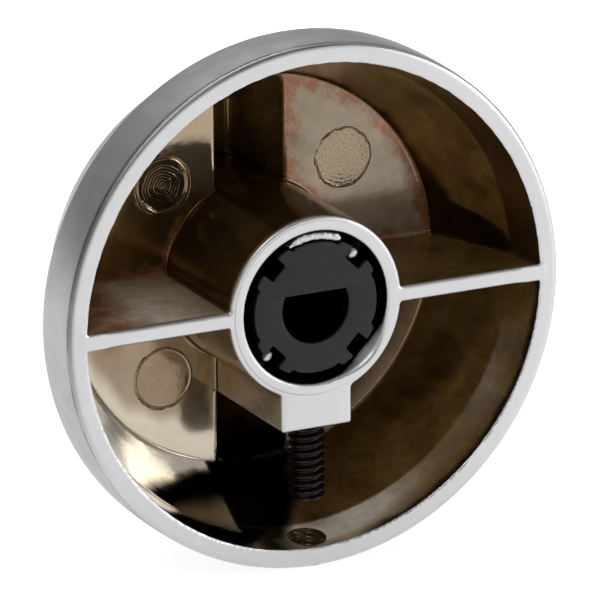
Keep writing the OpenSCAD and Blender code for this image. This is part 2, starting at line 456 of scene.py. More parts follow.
def make_world():
    """White to the camera; for light and reflections, a soft studio, bright above and dim behind."""
    world = bpy.data.worlds.new("studio")
    bpy.context.scene.world = world
    world.use_nodes = True
    nodes, links = world.node_tree.nodes, world.node_tree.links
    nodes.clear()
    out = nodes.new("ShaderNodeOutputWorld")
    seen = nodes.new("ShaderNodeBackground")
    seen.inputs["Color"].default_value = (1, 1, 1, 1)
    glow = nodes.new("ShaderNodeBackground")
    where = nodes.new("ShaderNodeTexCoord")
    split = nodes.new("ShaderNodeSeparateXYZ")
    links.new(where.outputs["Generated"], split.inputs[0])

    def fade(axis, low, high, to_low, to_high):
        made = nodes.new("ShaderNodeMapRange")
        made.interpolation_type = "SMOOTHSTEP"
        for key, value in (("From Min", low), ("From Max", high), ("To Min", to_low), ("To Max", to_high)):
            made.inputs[key].default_value = value
        links.new(split.outputs[axis], made.inputs["Value"])
        return made.outputs["Result"]

    strength = fade("Z", -0.1, 0.9, WORLD_LOW, WORLD_HIGH)
    for part in (fade("Y", -0.8, 0.2, WORLD_BACK, 1.0), fade("X", -0.7, 0.3, WORLD_LEFT, 1.0)):
        product = nodes.new("ShaderNodeMath")
        product.operation = "MULTIPLY"
        links.new(strength, product.inputs[0])
        links.new(part, product.inputs[1])
        strength = product.outputs[0]
    links.new(strength, glow.inputs["Strength"])
    ray = nodes.new("ShaderNodeLightPath")
    mix = nodes.new("ShaderNodeMixShader")
    links.new(ray.outputs["Is Camera Ray"], mix.inputs["Fac"])
    links.new(glow.outputs[0], mix.inputs[1])
    links.new(seen.outputs[0], mix.inputs[2])
    links.new(mix.outputs[0], out.inputs["Surface"])


def make_floor():
    """A white floor just under the knob, which shows only a faint shadow."""
    bpy.ops.mesh.primitive_plane_add(size=6, location=(0, 0, cad_box[0].z - 0.0001))
    floor = bpy.context.object
    floor.name = "floor"
    m = bpy.data.materials.new("floor_white")
    m.use_nodes = True
    shader = m.node_tree.nodes["Principled BSDF"]
    for socket, value in (("Base Color", (0.5, 0.5, 0.5, 1)), ("Emission Color", (1, 1, 1, 1)),
                          ("Emission Strength", 0.84), ("Roughness", 0.8), ("Specular IOR Level", 0.1)):
        shader.inputs[socket].default_value = value
    floor.data.materials.append(m)


make_camera()
make_world()
make_floor()
area_light("key", (-0.55, -0.75, 0.95), (0.6, 0.6), 6)
area_light("side", (0.85, -0.7, 0.12), (0.45, 0.5), 5)
area_light("top", (0.0, 0.3, 1.1), (0.9, 0.6), 9)
bpy.context.scene.view_settings.view_transform = "Standard"


# ---------------- materials
class Paint:
    """A node material being built: a Principled shader and short calls for what feeds it."""

    def __init__(self, name):
        self.material = bpy.data.materials.new(name)
        self.material.use_nodes = True
        self.tree = self.material.node_tree
        self.shader = self.tree.nodes["Principled BSDF"]
        self.place = self.node("ShaderNodeTexCoord").outputs["Object"]

    def node(self, kind, **inputs):
        made = self.tree.nodes.new(kind)
        for key, value in inputs.items():
            self.feed(value, made.inputs[key.replace("_", " ")])
        return made

    def feed(self, value, socket):
        if isinstance(value, bpy.types.NodeSocket):
            self.tree.links.new(value, socket)
        elif hasattr(value, "__len__") and len(value) == 3 and len(socket.default_value) == 4:
            socket.default_value = (*value, 1)
        else:
            socket.default_value = value

    def attribute(self, name):
        made = self.tree.nodes.new("ShaderNodeAttribute")
        made.attribute_name = name
        return made.outputs["Fac"]

    def noise(self, size_mm, detail=4.0, rough=0.55, warp=0.0):
        """Cloudy noise whose features are about size_mm across."""
        made = self.node("ShaderNodeTexNoise", Vector=self.place, Scale=1 / (size_mm * MM),
                         Detail=detail, Roughness=rough, Distortion=warp)
        return made.outputs["Fac"]

    def ramp(self, value, low, high, to_low=0.0, to_high=1.0):
        made = self.node("ShaderNodeMapRange", Value=value, From_Min=low, From_Max=high,
                         To_Min=to_low, To_Max=to_high)
        return made.outputs["Result"]

    def millimetres(self, axis):
        split = self.node("ShaderNodeSeparateXYZ", Vector=self.place)
        return self.math("MULTIPLY", split.outputs[axis], 1 / MM)

    def away(self):
        """Distance from the stem axis, in millimetres."""
        squares = [self.math("POWER", self.millimetres(axis), 2.0) for axis in "XZ"]
        return self.math("SQRT", self.math("ADD", *squares))

    def math(self, kind, a, b=0.5):
        made = self.tree.nodes.new("ShaderNodeMath")
        made.operation = kind
        self.feed(a, made.inputs[0])
        self.feed(b, made.inputs[1])
        return made.outputs[0]

    def mix(self, share, a, b):
        made = self.tree.nodes.new("ShaderNodeMix")
        made.data_type = "RGBA"
        self.feed(share, made.inputs["Factor"])
        self.feed(a, made.inputs[6])
        self.feed(b, made.inputs[7])
        return made.outputs[2]

    def bump(self, height, strength, distance_mm, normal=None):
        made = self.node("ShaderNodeBump", Height=height, Strength=strength, Distance=distance_mm * MM)
        if normal is not None:
            self.feed(normal, made.inputs["Normal"])
        return made.outputs["Normal"]

    def finish(self, **sockets):
        for key, value in sockets.items():
            self.feed(value, self.shader.inputs[key.replace("_", " ")])
        return self.material


RIM_SATIN, RIM_SATIN_DIM = (0.50, 0.50, 0.505), (0.475, 0.475, 0.485)
SIDE_SATIN, SIDE_SATIN_SHADED = (0.36, 0.36, 0.365), (0.25, 0.25, 0.255)
CORNER_SHADE, SEAM_SHADE, RING = (0.12, 0.12, 0.122), (0.018, 0.018, 0.02), (0.10, 0.10, 0.10)
CREAM, BRIGHT = (0.60, 0.53, 0.42), (0.86, 0.81, 0.74)
BEIGE, BEIGE_DIM = (0.33, 0.26, 0.18), (0.29, 0.225, 0.15)
OLIVE, BROWN = (0.235, 0.14, 0.035), (0.175, 0.09, 0.018)
COPPER = (0.27, 0.095, 0.042)
DARK_MOTTLE_AND_SHADE = (0.0032, 0.0016, 0.0008)


def stained_nickel(p, stain):
    """Colour of the recesses: thin nickel, brown, mottled or coppery by the casting's zones; cream and
    bright for unstained metal and painted highlights; near black, mostly for painted shade and painted
    reflections.
    """
    clean_and_highlight = p.attribute("clean_and_highlight")
    cloud = p.noise(9, 5, 0.6, warp=0.4)
    warm = p.mix(p.ramp(cloud, 0.35, 0.65), BEIGE, BEIGE_DIM)
    # painted highlights, and metal left unstained, turn cream and then bright
    warm = p.mix(p.ramp(clean_and_highlight, 0.0, 0.75), warm, CREAM)
    warm = p.mix(p.ramp(clean_and_highlight, 0.75, 1.0), warm, BRIGHT)
    stained = p.mix(p.ramp(cloud, 0.38, 0.62), OLIVE, BROWN)
    mottle = p.ramp(p.noise(4.5, 5, 0.6, warp=0.8), 0.45, 0.75)
    stained = p.mix(p.math("MULTIPLY", mottle, 0.45), stained, DARK_MOTTLE_AND_SHADE)
    grain = p.ramp(p.noise(1.1, 3, 0.6), 0.2, 0.6, 0.75, 1.0)
    nickel = p.mix(p.math("MULTIPLY", stain, grain), warm, stained)
    patches = p.math("ADD", p.noise(3.0, 3), p.math("MULTIPLY", p.noise(0.35, 3, 0.7), 0.8))
    patches = p.math("MULTIPLY", p.attribute("copper"), p.ramp(patches, 0.70, 0.94))
    nickel = p.mix(patches, nickel, COPPER)
    # near black by the dark zone: mostly painted shade and painted reflections of dark hollows
    return p.mix(p.attribute("dark"), nickel, DARK_MOTTLE_AND_SHADE)


def satin_chrome(p):
    """Colour of the outside: pale on the ground rim, greyer on the side with painted shade towards its
    bottom, with fine dark lines and painted shade behind the rim at the upper left.
    """
    x, y, z = (p.millimetres(axis) for axis in "XYZ")
    upper_left = p.math("SUBTRACT", z, x)
    satin = p.mix(p.ramp(p.noise(14, 3), 0.3, 0.7), RIM_SATIN, RIM_SATIN_DIM)
    # painted shade: the side band turns darker towards its bottom
    band = p.mix(p.ramp(z, -22, 2), SIDE_SATIN_SHADED, SIDE_SATIN)
    satin = p.mix(p.ramp(y, 0.3, 1.0), satin, band)
    # a dark line where the grinding ends, just behind the rim, with painted shade making it strongest at
    # the upper left
    seam_shade = p.math("ABSOLUTE", p.math("SUBTRACT", y, 0.62))
    seam_shade = p.ramp(seam_shade, 0.11, 0.24, 1.0, 0.0)
    seam_shade = p.math("MULTIPLY", seam_shade, p.ramp(upper_left, -10, 35, 0.15, 0.9))
    seam_shade = p.math("MULTIPLY", seam_shade, p.ramp(p.noise(4, 3), 0.35, 0.55))
    satin = p.mix(seam_shade, satin, SEAM_SHADE)
    # painted shade over the rounded corner behind the rim, towards the upper left
    corner = p.math("MULTIPLY", p.ramp(y, 0.02, 0.14), p.ramp(y, 0.7, 1.1, 1.0, 0.0))
    satin = p.mix(p.math("MULTIPLY", corner, p.ramp(upper_left, 8, 36, 0.0, 0.75)), satin, CORNER_SHADE)
    # a fine turned line on the left of the hub's end
    ring = p.math("ABSOLUTE", p.math("SUBTRACT", p.away(), HUB_R - 0.62))
    ring = p.math("MULTIPLY", p.ramp(ring, 0.03, 0.12, 0.45, 0.0), p.ramp(x, -2, 6, 1.0, 0.0))
    ring = p.math("MULTIPLY", ring, p.ramp(y, 0.2, 0.4, 1.0, 0.0))
    return p.mix(ring, satin, RING)


def plated_metal():
    """Satin chrome outside and on the ground rim; thin, stained nickel in the recesses."""
    p = Paint("plated_casting")
    inside, stain = p.attribute("inside"), p.attribute("stain")
    color = p.mix(inside, satin_chrome(p), stained_nickel(p, stain))
    rough_in = p.ramp(p.noise(5, 4, 0.6), 0.3, 0.7, 0.07, 0.14)
    rough_in = p.math("ADD", rough_in, p.math("MULTIPLY", stain, 0.06))
    rough_out = p.ramp(p.noise(3, 5, 0.6), 0.3, 0.7, 0.34, 0.46)
    rough = p.tree.nodes.new("ShaderNodeMix")
    p.feed(inside, rough.inputs["Factor"])
    p.feed(rough_out, rough.inputs[2])
    p.feed(rough_in, rough.inputs[3])
    normal = p.bump(p.noise(0.22, 2, 0.5), 0.12, 0.02)
    waves = p.math("MULTIPLY", p.noise(2.2, 3, 0.5), p.ramp(inside, 0, 1, 0.3, 1.0))
    normal = p.bump(waves, 0.18, 0.10, normal)
    film = p.math("MULTIPLY", p.attribute("film"), p.ramp(p.noise(3.5, 4, 0.6), 0.3, 0.7, 0.6, 1.0))
    metallic = p.math("SUBTRACT", 1.0, film)
    return p.finish(Base_Color=color, Roughness=rough.outputs[0], Metallic=metallic, Normal=normal)


def black_plastic():
    """The insert's moulded plastic: scuffed on its face, with painted shade making it darker down its holes
    and notches.
    """
    p = Paint("black_insert")
    cloud = p.noise(2.5, 4)
    scuff = p.ramp(p.noise(0.5, 5, 0.7), 0.55, 0.75)
    color = p.mix(p.ramp(cloud, 0.3, 0.7), (0.006, 0.006, 0.0065), (0.009, 0.009, 0.0095))
    color = p.mix(p.math("MULTIPLY", scuff, 0.18), color, (0.05, 0.05, 0.05))
    # painted shade: darker with depth, and darkest down the stem hole
    depth = p.millimetres("Y")
    color = p.mix(p.ramp(depth, 0.25, 0.9), color, (0.001, 0.001, 0.001))
    hole = p.ramp(p.away(), STEM_R + 0.087, STEM_R + 0.187, 1.0, 0.0)
    hole = p.math("MULTIPLY", hole, p.ramp(depth, 0.2, 0.7))
    color = p.mix(hole, color, (0.0004, 0.0004, 0.0004))
    normal = p.bump(p.noise(0.25, 3), 0.25, 0.03)
    rough = p.ramp(cloud, 0.3, 0.7, 0.50, 0.64)
    shine = p.ramp(depth, 0.25, 0.7, 0.27, 0.02)
    return p.finish(Base_Color=color, Roughness=rough, Specular_IOR_Level=shine, Normal=normal)


def black_oxide():
    """The set screw's oxidised steel, a little worn and oily."""
    p = Paint("black_screw")
    wear = p.ramp(p.noise(0.8, 4), 0.5, 0.75)
    color = p.mix(wear, (0.013, 0.010, 0.009), (0.04, 0.03, 0.026))
    normal = p.bump(p.noise(0.2, 3), 0.2, 0.02)
    rough = p.ramp(p.noise(1.5, 4), 0.3, 0.7, 0.22, 0.42)
    return p.finish(Base_Color=color, Roughness=rough, Metallic=0.85, Normal=normal)


def bright_break():
    """The bare, broken zinc of the pad's end and the key ribs' ends."""
    p = Paint("bare_zinc")
    cloud = p.noise(0.5, 5, 0.65)
    color = p.mix(p.ramp(cloud, 0.3, 0.7), (0.34, 0.34, 0.335), (0.62, 0.62, 0.61))
    normal = p.bump(p.noise(0.35, 5, 0.7), 0.6, 0.12)
    rough = p.ramp(cloud, 0.3, 0.7, 0.3, 0.55)
    return p.finish(Base_Color=color, Roughness=rough, Metallic=0.9, Normal=normal)


# ---------------- the casting
def hollow_wall(y):
    """Inner radius of the skirt at a depth."""
    upper = MOUTH_R - y * (MOUTH_R - CREASE_R) / CREASE_Y
    return np.where(y < CREASE_Y, upper, FLOOR_R - (y - FLOOR_Y) * LEAN)


def wall_shade_and_highlights(turn, y):
    """Painted shade, painted dark reflections and painted highlights on the skirt's inside wall, by
    direction in degrees and depth.
    """
    ripple = 0.5 * np.sin(turn * 0.31 + 1) + 0.3 * np.sin(turn * 0.83 + 0.5 * y)
    ripple += 0.12 * np.sin(turn * 1.9 + y)
    # lower left: a long painted reflection of the dark grip hollow, with painted highlights above and below
    # it
    top = np.interp(turn, (222, 233, 242, 250, 258, 264), (4, 10.7, 13.8, 16.4, 17.8, 19)) + 0.4 * ripple
    low = np.interp(turn, (222, 236, 242, 254, 264), (3, 7.8, 10.2, 13.3, 14)) + 0.4 * ripple
    dark_reflection = soft_step(top - y, -0.9, 0.8) * soft_step(y - low, -3.2, 0.9) * window(turn, 221, 226, 256, 262)
    near_rim = soft_step(5.4 - y + 0.5 * ripple, -0.4, 0.8) * window(turn, 226, 232, 257, 264)
    clean_and_highlight = soft_step(y - top, -0.2, 1.2) * window(turn, 197, 206, 260, 268)
    clean_and_highlight = np.maximum(clean_and_highlight, soft_step(-turn, -228, -220) * soft_step(turn + ripple, 197, 206))
    # the bottom: painted shade below the grip's hollow
    grip_right = np.interp(y, (3, 7, 12, 19), (263, 269, 277, 281)) + ripple
    below_grip = soft_step(turn, 254.3, 255.3) * soft_step(grip_right - turn, -2, 3)
    # the right: painted shade along the floor plate and the rim, and a slanting dark streak
    start = np.interp(turn, (0, 8, 13, 22, 33, 47, 80, 120), (5, 8, 14.5, 17.2, 17.9, 18.2, 18.4, 18.4))
    by_plate = soft_step(y + 0.8 * ripple - start, -0.8, 1.0) * soft_step(-turn, -130, -100)
    band = soft_step(CREASE_Y - y, -0.1, 0.25)
    upper_band = band * soft_step(-turn, -75, -35)
    cloud = 0.7 + 0.3 * np.sin(turn * 0.45 + 0.5 * y) * np.sin(0.27 * turn - 0.6 * y + 2)
    streak = near(y - 10.5 - (346 - turn) * 0.17 + 1.2 * ripple, 0, 4.2) * near(turn, 324, 36) * cloud
    at_rim = soft_step(0.9 - y + 0.3 * ripple, -0.7, 0.5) * soft_step(turn, 278, 290)
    wall_shade_and_reflection = np.maximum.reduce([dark_reflection, below_grip, near_rim, 0.75 * by_plate, 0.6 * upper_band,
                              0.6 * streak, 0.7 * at_rim])
    # a painted highlight on the band between the rim and the crease, brightest at the bottom
    glow = np.interp(turn, (265, 271, 290, 303, 314, 330, 345, 352), (0, 1.3, 1.2, 0.55, 0.3, 0.5, 0.2, 0))
    band_highlight = band * glow * (0.35 + 0.65 * soft_step(y + 1.5 * near(turn, 276, 22), 0.8, 5.0))
    return wall_shade_and_reflection, np.clip(clean_and_highlight, 0, 1), np.clip(band_highlight, 0, 1)


def casting_regions(x, y, z, r, turn):
    """How far each point belongs to each region of the casting, from nothing to one."""
    at = SimpleNamespace()
    hollow = np.minimum(hollow_form(x, y, z, r), bore_form(x, y, z, r))
    uneven = 0.08 + 0.05 * np.sin(turn * 1.9) + 0.04 * np.sin(turn * 4.3)
    edge = np.where(r > WEB_EDGE_TO, uneven, 0.2)
    at.bore = soft_step(-r, -BORE_R - 0.5, -BORE_R - 0.3)
    at.worn = near(turn, WORN_TURN + 360, WORN_SPAN) * soft_step(-r, -BORE_R - 1.3, -BORE_R - 0.9)
    at.inside = soft_step(-hollow, -0.35, -0.05) * soft_step(y - edge - 1.4 * at.worn, 0, 0.15)
    at.wall = soft_step(r - hollow_wall(y), -0.6, -0.3) * soft_step(FLOOR_Y - y, -0.1, 0.2)
    at.plate = window(y, FLOOR_Y - 0.5, FLOOR_Y - 0.1, FLOOR_Y + 0.2, FLOOR_Y + 0.5) * (1 - at.wall)
    at.upper_left = at.plate * (x < 0) * (z > 0)
    at.lower_left = at.plate * (x < 0) * (z < 0)
    at.lower_right = at.plate * (x > 0) * (z < 0)
    at.hub_side = soft_step(-r, -HUB_R - 0.5, -HUB_R - 0.3) * soft_step(y, 0.4, 1.0)
    on_left_web = (x < -HUB_R) * (z > 0) * (z < WEB_HALF + 0.4)
    at.left_web_top = at.inside * on_left_web * soft_step(y, 0.4, 0.8)
    at.core = soft_step(y, FLOOR_Y + 0.3, FLOOR_Y + 1.0)
    at.below_boss = at.core * soft_step(-z, 13, 16)
    return at


def stain_zone(at, x, y, z, r, turn, band_highlight):
    """Brown tarnish, thinned below the boss and under the painted highlight band on the wall."""
    brown_wall = np.maximum(soft_step(-turn, -150, -110), soft_step(turn, 262, 275))
    smudge = 0.75 + 0.25 * np.sin(5.1 * x + 1.3 * z) * np.sin(2.3 * z + x)
    stain = np.maximum.reduce([
        at.wall * brown_wall,
        at.wall * 0.55 * near(turn, 246, 12) * soft_step(-y, -12, -10),
        0.95 * at.hub_side,
        at.core,
        (z > 0) * (x > 0) * (1 - at.plate),
        at.upper_left * soft_step(-z - 0.7 * x, -10, -3) * 0.95,
        at.lower_left * 0.3 * soft_step(-r, -21, -17),
        at.lower_left * smudge * near(x + 6.6, 0, 2.6) * soft_step(z, -20, -15),
        at.lower_left * 0.6 * near(np.hypot(x + 20, z + 8), 0, 4.5),
        at.lower_right * (0.35 + 0.35 * soft_step(z, -16, -10))])
    return stain * (1 - at.wall * band_highlight * 0.9) * (1 - 0.7 * at.below_boss)


def copper_zone(at, x, z, r):
    """Bare copper along the edges of the floor plates and on the left web."""
    ring = np.minimum.reduce([
        np.abs(np.abs(x) - TROUGH_HALF), np.abs(r - HUB_R) + 1.0,
        np.abs(r - FLOOR_R) + 0.3, np.abs(np.abs(z) - WEB_HALF) + 0.6])
    ragged = 0.5 * np.sin(1.9 * x + 0.7 * z) * np.sin(1.6 * z - 0.4 * x)
    ragged += 0.3 * np.sin(4.3 * x) * np.sin(3.7 * z)
    right = 0.15 + 0.85 * soft_step(z, -10, -5)
    left = soft_step(z, -1, 1) * soft_step(-z, -13, -6)
    edges = at.plate * soft_step(2.0 + ragged - ring, -0.6, 0.9) * np.where(x > 0, right, left)
    return np.maximum(edges, 0.9 * at.left_web_top * soft_step(-x, 19, 28))


def dark_zone(at, x, y, z, wall_shade_and_reflection):
    """Where the recesses are painted near black: painted shade in places too deep for light, down the bore,
    low in the grip's hollow, at its foot and in the screw hole; painted shade and painted dark reflections
    on the skirt wall; and a dimmer lower right plate and upper hub side.
    """
    deep = at.bore * soft_step(y - 1.5 * at.worn, 0.12, 0.4)
    low_core = soft_step(26.5 - y, -1.5, 1.5) * soft_step(-z, 17, 20) * soft_step(3 - x, 0, 1)
    screw_hole = (np.hypot(x, y - SCREW_Y) < BOSS_HOLE_R + 0.15) * (z < 0) * (z > 0.4 - BOSS_REACH)
    foot = (np.abs(x) < TROUGH_HALF + 0.3) * soft_step(-z, 23, 24.5) * soft_step(y, 16.5, 17.5)
    dim_plate = at.lower_right * (0.3 + 0.25 * soft_step(z, -16, -10))
    dim_hub = 0.45 * at.hub_side * (z > -6)
    low_core *= 0.7 * at.core
    return np.maximum.reduce([deep, at.wall * wall_shade_and_reflection, low_core, foot, screw_hole, dim_plate, dim_hub])


def film_zone(at, x, y, copper, dark, clean_and_highlight):
    """Where a dull film scatters the light instead of mirroring it."""
    film = (1 - dark) * (0.5 + 0.5 * at.wall * clean_and_highlight) * (1 - 0.7 * at.upper_left)
    film = np.maximum.reduce([film, 0.95 * at.left_web_top, 0.9 * copper * at.plate])
    film *= (1 - 0.5 * at.hub_side) * (1 - 0.85 * at.below_boss)
    film = at.inside * np.maximum(film, at.plate * (x > 0) * (0.85 - 0.4 * at.lower_right))
    mouth = at.worn * (1 - at.inside) * soft_step(y, 0.1, 0.25) * soft_step(3 - y, 0, 0.5)
    return np.maximum(film, 0.85 * mouth)


def casting_zones(points):
    """How the plating looks at each point, as the numbers that plated_metal() reads."""
    x, y, z = points.T
    r = np.hypot(x, z)
    turn = np.degrees(np.arctan2(z, x)) % 360
    at = casting_regions(x, y, z, r, turn)
    wall_shade_and_reflection, wall_highlight, band_highlight = wall_shade_and_highlights(turn, y)
    # painted highlights on the outer part of the lower left floor plate, on the skirt wall and along its
    # band
    pale_from = np.interp(x, (-22, -17, -11, -5), (24.9, 24.0, 22.0, 22.3)) + 0.25 * np.sin(1.3 * x)
    pale = at.lower_left * soft_step(r - pale_from, -1.2, 0.9)
    clean_and_highlight = np.maximum(at.wall * np.maximum(wall_highlight, 0.85 * band_highlight), 0.75 * pale)
    copper = copper_zone(at, x, z, r)
    dark = dark_zone(at, x, y, z, wall_shade_and_reflection)
    # a painted highlight across the middle of the left web's top
    web_highlight = 0.85 * at.left_web_top * near(x, -21, 9)
    zones = {"inside": at.inside, "stain": stain_zone(at, x, y, z, r, turn, band_highlight),
             "copper": copper, "dark": dark,
             "clean_and_highlight": np.maximum.reduce([clean_and_highlight, web_highlight, 0.4 * at.below_boss]),
             "film": film_zone(at, x, y, copper, dark, clean_and_highlight)}
    return {name: np.clip(values, 0, 1) for name, values in zones.items()}


def make_casting():
    """The whole casting as one mesh, with its normals from the form's own slope."""
    low = (-SKIRT_R - 1, -1, -SKIRT_R - 1)
    high = (SKIRT_R + 1, TOP_Y + 1, SKIRT_R + 1)
    points, quads = surface_net(casting_form, low, high, CELL)
    obj = mesh_object("knob_casting", points, quads)
    slope = gradient(casting_form, points, 0.04)[1]
    slope /= np.maximum(np.linalg.norm(slope, axis=1), 1e-6)[:, None]
    obj.data.normals_split_custom_set_from_vertices(slope.tolist())
    for name, values in casting_zones(points).items():
        put_attribute(obj, name, values)
    obj.data.materials.append(METAL)
    return obj


METAL = plated_metal()
PLASTIC = black_plastic()
OXIDE = black_oxide()
ZINC = bright_break()

casting = make_casting()
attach(casting, "casting")
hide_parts("skirt", "face_plate", "grip_bar", "hub", "web_left", "web_right", "screw_boss")


# ---------------- small details of the casting
def on_casting(obj, material, zones=None):
    """Gives a detail its metal, its zones and its place on the casting."""
    if zones:
        for name, values in zones.items():
            put_attribute(obj, name, values)
    obj.data.materials.append(material)
    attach(obj, "casting")
    return obj


def wobble(*place, size=1.0, seed=0.0):
    """Smooth noise from -1 to 1 at a place in millimetres."""
    point = Vector((*place, 0, 0)[:3]) / size + Vector((seed, seed * 1.7, seed * 0.3))
    return noise.fractal(point, 0.9, 2.1, 4)


EJECTOR_R = 4.3


def lathe_rings(r, angle):
    """A turned pin's face: fine uneven rings inside a raised lip."""
    drift = wobble(math.cos(angle), math.sin(angle), size=0.9)
    wave = math.cos(2 * math.pi * (r + 0.22 * drift) / 0.4) + 0.5 * math.cos(2 * math.pi * r / 0.71 + 2)
    lip = math.exp(-((r - 3.55 - 0.12 * drift) / 0.22) ** 2) + 0.6 * math.exp(-((r - 4.0) / 0.12) ** 2)
    return 0.10 + 0.016 * wave * (r < 3.4) + 0.16 * lip, 0.70 - 0.12 * wave - 0.5 * lip


def speckled(r, angle):
    """A finely pitted, slightly domed face with a ragged ridge of flash round it."""
    x, z = r * math.cos(angle), r * math.sin(angle)
    pit = wobble(x, z, size=0.22, seed=3)
    ring = math.cos(2 * math.pi * r / 0.55) * (r > 1.8)
    ridge = math.exp(-((r - 3.85 - 0.22 * wobble(x, z, size=1.3, seed=5)) / 0.10) ** 2)
    ridge *= 0.9 + 0.7 * wobble(x, z, size=0.8, seed=8)
    height = 0.12 * (1 - (r / EJECTOR_R) ** 2) + 0.014 * pit + 0.003 * ring + 0.07 * max(0.0, ridge)
    return height, max(0.0, 0.3 - pit) * 0.45 + 0.25 * max(0.0, ridge)


def thin_ring(r, angle):
    """A nearly flat, brushed face inside a thin raised ring."""
    x, z = r * math.cos(angle), r * math.sin(angle)
    ring = math.exp(-((r - 3.95) / 0.1) ** 2)
    brushed = wobble(x * 0.6 + z, z * 0.15 - x, size=0.9, seed=11)
    arcs = 0.05 * math.cos(2 * math.pi * math.hypot(x - 0.8, z + 0.4) / 0.5)
    line = math.exp(-((r - 4.15) / 0.07) ** 2)
    return 0.03 + 0.07 * ring + 0.003 * brushed, 0.10 + 0.1 * max(0.0, brushed) + arcs + 0.3 * line


def ejector_mark(corner, x, z, face, stain, film):
    """The print of an ejector pin on a floor plate, ragged round its edge."""
    rows, around, foot = 64, 150, FLOOR_Y + 0.03
    points, dark = [(x, FLOOR_Y - face(0, 0)[0], z)], [0.3]
    for i in range(1, rows + 1):
        for j in range(around):
            angle = 2 * math.pi * j / around
            edge = EJECTOR_R + 0.22 * wobble(math.cos(angle), math.sin(angle), size=0.35, seed=x)
            r = edge * i / rows
            height, dirt = face(r, angle)
            fall = min(1.0, (rows - i) / 3)
            y = foot - (height + 0.03) * fall
            points.append((x + r * math.cos(angle), y, z + r * math.sin(angle)))
            dark.append(max(0.0, min(1.0, dirt)) * fall)
    points += [(px, FLOOR_Y + 0.3, pz) for px, _, pz in points[-around:]]
    dark += [0.0] * around
    faces = [(0, 1 + (j + 1) % around, 1 + j) for j in range(around)]
    for i in range(rows):
        for j in range(around):
            a, b = 1 + i * around + j, 1 + i * around + (j + 1) % around
            faces.append((a, b, b + around, a + around))
    faces.append(tuple(range(len(points) - around, len(points))))
    zones = {"inside": 1.0, "dark": dark, "stain": stain, "film": film}
    return on_casting(mesh_object("ejector_mark_" + corner, points, faces), METAL, zones)


ejector_mark("upper_left", -12.5, 12.9, lathe_rings, 0.45, 0.15)
ejector_mark("upper_right", 13.4, 13.1, speckled, 0.12, 0.35)
ejector_mark("lower_left", -12.7, -13.1, thin_ring, 0.35, 0.35)
ejector_mark("lower_right", 12.8, -13.0, thin_ring, 0.35, 0.35)


def broken_pad():
    """The rough, bright break on the end of the bore's pad."""
    rings = []
    steps, section = 60, 20
    for i in range(steps + 1):
        t = i / steps
        angle = 67 + 46 * t     # degrees, from one end of the pad to the other
        taper = min(1.0, 0.5 + 8 * t, 0.3 + 3.5 * (1 - t))
        inner = 8.86 + 0.10 * wobble(t * 9, size=1.0, seed=2) + 0.35 * (1 - taper)
        outer = inner + 1.05 * taper + 0.08 * wobble(t * 14, size=1.0, seed=4)
        ring = []
        for j in range(section):
            a = 2 * math.pi * j / section
            u = math.copysign(abs(math.cos(a)) ** 0.6, math.cos(a))
            v = math.copysign(abs(math.sin(a)) ** 0.6, math.sin(a))
            r = (inner + outer) / 2 + u * (outer - inner) / 2
            y = 0.95 - v * 0.7 + 0.10 * wobble(t * 20, u * 2, v, size=1.0, seed=6) * (v > 0)
            r += 0.05 * wobble(t * 30, v * 2, u, size=1.0, seed=9)
            ring.append((r * math.cos(math.radians(angle)), y, r * math.sin(math.radians(angle))))
        rings.append(ring)
    points, faces = loft(rings)
    return on_casting(mesh_object("bore_pad_break", points, faces), ZINC)


KEY_END_R = 8.4


def rib_end(name, side):
    """The bright rounded end of a key rib."""
    work = bmesh.new()
    bmesh.ops.create_icosphere(work, subdivisions=4, radius=1.0)
    half_long, half_deep, half_wide = 0.78, 0.55, 0.62
    for v in work.verts:
        v.co *= 1 + 0.22 * wobble(*v.co, size=1.1, seed=side * 5)
        along, across = v.co.x * half_long + side * KEY_END_R, v.co.z * half_wide + KEY_SHIFT
        x = (along - across) * math.sqrt(0.5)
        z = (along + across) * math.sqrt(0.5)
        v.co = Vector((x - (0.3 if side < 0 else 0), KEY_FACE + v.co.y * half_deep, z - 0.12)) * MM
    mesh = bpy.data.meshes.new(name)
    work.to_mesh(mesh)
    work.free()
    return on_casting(smooth_object(name, mesh), ZINC)


broken_pad()
rib_end("key_rib_end_upper", 1)
rib_end("key_rib_end_lower", -1)


def thread_radius(phase, crest, root):
    """A sixty degree thread, flat at its crest and root, over one turn of phase."""
    t = abs((phase % 1.0) - 0.5) * 2
    rise = min(1.0, max(0.0, (t - 0.18) / 0.66))
    return crest - (crest - root) * rise


def screw_ring(radius, height):
    """Points round the screw's axis; the radius may depend on the angle and the height on x and y."""
    made = []
    for j in range(THREAD_SIDES):
        a = 2 * math.pi * j / THREAD_SIDES
        r = radius(a) if callable(radius) else radius
        x, y = r * math.cos(a), SCREW_Y + r * math.sin(a)
        made.append((x, y, height(x, y) if callable(height) else height))
    return made


